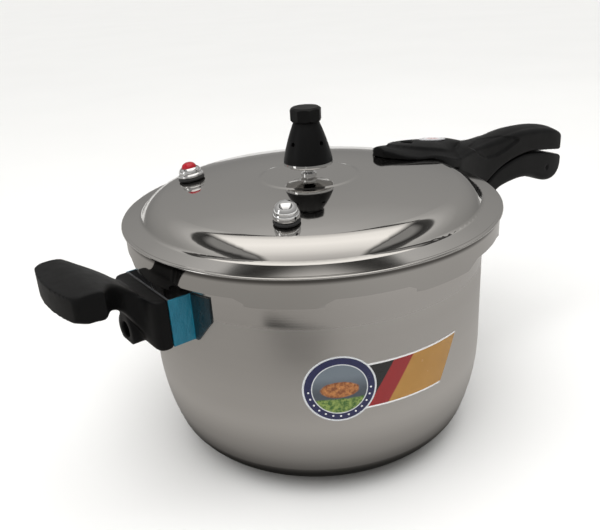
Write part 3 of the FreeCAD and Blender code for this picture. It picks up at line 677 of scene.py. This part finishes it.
# %% The tree that repeats a dome
def dome_tree(material):
    """Domes on the points of a mesh, turned to its 'facing' attribute; inputs Radius and Height."""
    made = bpy.data.node_groups.new("domes", "GeometryNodeTree")
    face = made.interface
    face.new_socket("Geometry", in_out="INPUT", socket_type="NodeSocketGeometry")
    radius = face.new_socket("Radius", in_out="INPUT", socket_type="NodeSocketFloat")
    height = face.new_socket("Height", in_out="INPUT", socket_type="NodeSocketFloat")
    face.new_socket("Geometry", in_out="OUTPUT", socket_type="NodeSocketGeometry")

    def add(kind, **settings):
        one = made.nodes.new(kind)
        for key, value in settings.items():
            setattr(one, key, value)
        return one

    start = add("NodeGroupInput")
    end = add("NodeGroupOutput")
    ball = add("GeometryNodeMeshUVSphere")
    ball.inputs["Segments"].default_value = 16
    ball.inputs["Rings"].default_value = 8
    ball.inputs["Radius"].default_value = 1.0
    sizes = add("ShaderNodeCombineXYZ")
    facing = add("GeometryNodeInputNamedAttribute", data_type="FLOAT_VECTOR")
    facing.inputs["Name"].default_value = "facing"
    turned = add("FunctionNodeAlignRotationToVector", axis="Z")
    place = add("GeometryNodeInstanceOnPoints")
    real = add("GeometryNodeRealizeInstances")
    smooth = add("GeometryNodeSetShadeSmooth")
    paint = add("GeometryNodeSetMaterial")
    paint.inputs["Material"].default_value = material
    link = made.links.new
    link(start.outputs["Radius"], sizes.inputs["X"])
    link(start.outputs["Radius"], sizes.inputs["Y"])
    link(start.outputs["Height"], sizes.inputs["Z"])
    link(start.outputs["Geometry"], place.inputs["Points"])
    link(ball.outputs["Mesh"], place.inputs["Instance"])
    link(facing.outputs["Attribute"], turned.inputs["Vector"])
    link(turned.outputs["Rotation"], place.inputs["Rotation"])
    link(sizes.outputs[0], place.inputs["Scale"])
    link(place.outputs[0], real.inputs[0])
    link(real.outputs[0], smooth.inputs[0])
    link(smooth.outputs[0], paint.inputs["Geometry"])
    link(paint.outputs[0], end.inputs[0])
    return made, radius.identifier, height.identifier


def domes(name, places, facings, radius, height, material):
    """One plain mesh of domes at places, ready to ride."""
    mesh = bpy.data.meshes.new(name)
    mesh.from_pydata([tuple(p) for p in places], [], [])
    attribute = mesh.attributes.new("facing", "FLOAT_VECTOR", "POINT")
    for k, facing in enumerate(facings):
        attribute.data[k].vector = facing
    piece = bpy.data.objects.new(name, mesh)
    bpy.context.scene.collection.objects.link(piece)
    made, radius_id, height_id = dome_tree(material)
    repeat = piece.modifiers.new("repeat", "NODES")
    repeat.node_group = made
    repeat[radius_id] = radius
    repeat[height_id] = height
    graph = bpy.context.evaluated_depsgraph_get()
    baked = bpy.data.meshes.new_from_object(piece.evaluated_get(graph))
    piece.modifiers.clear()
    piece.data = baked
    print(name, len(places), "domes,", len(baked.polygons), "faces")
    return piece


# %% Where the wall is
def surface_point(source, azimuth, z):
    """Outermost point of a CAD node at an azimuth and height, and the way it faces."""
    outward = Vector((math.cos(azimuth), math.sin(azimuth), 0))
    hit, place, normal, face = node[source].ray_cast(outward * 0.30 + Vector((0, 0, z)), -outward)
    if not hit:
        raise ValueError(f"{source} has nothing at {math.degrees(azimuth):.1f} degrees, z {z:.3f}")
    return place.copy(), normal if normal.dot(outward) > 0 else -normal


# %% Spot welds on the brackets' wings
bracket_middle = (bracket_low.z + bracket_high.z) / 2
wing_middle = math.radians(17.6)
weld_radius = 0.0016
weld_height = 0.0002
weld_places = []
for source, middle_azimuth in (("helper_bracket", math.pi), ("pot_bracket", 0.0)):
    for side in (-1, 1):
        for rise in (-0.0045, 0.0045):
            azimuth = middle_azimuth + side * wing_middle
            weld_places.append(surface_point(source, azimuth, bracket_middle + rise))
for name, marks, finish, slot in (("helper_welds", weld_places[:4], film, "blue_film_steel"),
                                  ("handle_welds", weld_places[4:], base_steel, "brushed_steel")):
    welds = domes(name, [p for p, n in marks], [n for p, n in marks], weld_radius, weld_height,
                  finish.material)
    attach(welds, "pot")

# %% Printed dots on the badge's ring
ink = plain("white ink", (0.72, 0.73, 0.75), 0.0, 0.3)
dot_circle = (inner_ring + outer_ring) / 2
dot_radius = 0.00065
dot_height = 0.00005
dot_places = []
for k in range(13):
    angle = math.radians(-176 + k * 172 / 12)
    azimuth = label_azimuth + dot_circle * math.cos(angle) / wall_radius
    dot_places.append(surface_point("round_label", azimuth, label_middle.z + dot_circle * math.sin(angle)))
ring_dots = domes("ring_dots", [p for p, n in dot_places], [n for p, n in dot_places], dot_radius,
                  dot_height, ink.material)
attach(ring_dots, "pot")
